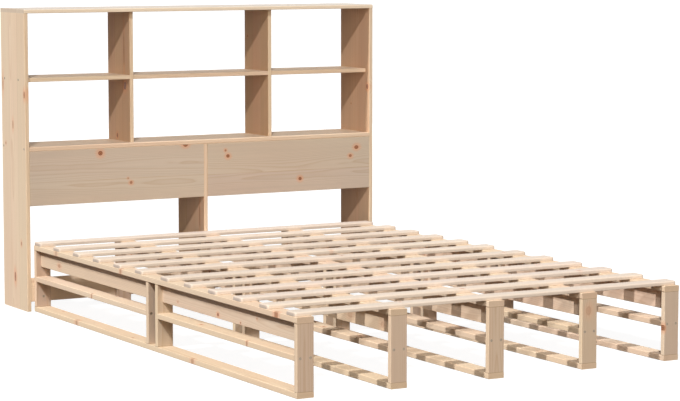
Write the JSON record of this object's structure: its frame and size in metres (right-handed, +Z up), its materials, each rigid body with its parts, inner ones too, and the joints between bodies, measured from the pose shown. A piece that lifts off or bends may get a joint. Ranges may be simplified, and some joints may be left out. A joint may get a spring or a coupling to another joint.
{
  "type": "bookcase headboard bed",
  "caption": "Low slatted pine platform bed on open plank frames, with a full-width open bookcase headboard of compartments, shelves and solid lower panels.",
  "frame": {"origin": "on the floor, in the middle of the whole plan of bed and bookcase", "axes": "+X to the right as seen from the foot, +Y from the foot to the headboard, +Z up"},
  "size_m": [1.455, 2.225, 1.1],
  "materials": {
    "frame_pine": "bare planed pine, knotty, unvarnished",
    "slat_pine": "bare planed pine with rounded corners, unvarnished",
    "case_pine": "bare planed pine board, knotty, unvarnished",
    "dowel_beech": "plain turned beech",
    "screw_steel": "zinc plated"
  },
  "bodies": {
    "root": {"case_dowels": "dowel_beech", "centre_beams": "frame_pine", "centre_bottom_plank": "frame_pine", "centre_divider": "case_pine", "centre_mid_planks": "frame_pine", "centre_posts": "frame_pine", "centre_top_plank": "frame_pine", "foot_slat_1": "slat_pine", "foot_slat_2": "slat_pine", "foot_slat_3": "slat_pine", "foot_slat_4": "slat_pine", "foot_slat_5": "slat_pine", "foot_slat_6": "slat_pine", "frame_dowels": "dowel_beech", "head_slat_1": "slat_pine", "head_slat_2": "slat_pine", "head_slat_3": "slat_pine", "head_slat_4": "slat_pine", "head_slat_5": "slat_pine", "head_slat_6": "slat_pine", "headboard_screws": "screw_steel", "left_headboard_panel": "case_pine", "left_inner_beams": "frame_pine", "left_inner_bottom_plank": "frame_pine", "left_inner_mid_planks": "frame_pine", "left_inner_posts": "frame_pine", "left_inner_top_plank": "frame_pine", "left_outer_beams": "frame_pine", "left_outer_bottom_plank": "frame_pine", "left_outer_mid_planks": "frame_pine", "left_outer_posts": "frame_pine", "left_outer_top_plank": "frame_pine", "left_side_panel": "case_pine", "left_stretcher": "case_pine", "left_upper_divider": "case_pine", "left_upper_shelf": "case_pine", "mid_plank_screws": "screw_steel", "middle_shelf": "case_pine", "middle_upper_shelf": "case_pine", "right_headboard_panel": "case_pine", "right_inner_beams": "frame_pine", "right_inner_bottom_plank": "frame_pine", "right_inner_mid_planks": "frame_pine", "right_inner_posts": "frame_pine", "right_inner_top_plank": "frame_pine", "right_outer_beams": "frame_pine", "right_outer_bottom_plank": "frame_pine", "right_outer_mid_planks": "frame_pine", "right_outer_posts": "frame_pine", "right_outer_top_plank": "frame_pine", "right_side_panel": "case_pine", "right_stretcher": "case_pine", "right_upper_divider": "case_pine", "right_upper_shelf": "case_pine", "shelf_screws": "screw_steel", "slat_screws": "screw_steel", "through_dowels": "dowel_beech", "top_panel": "case_pine"}
  },
  "joints": []
}
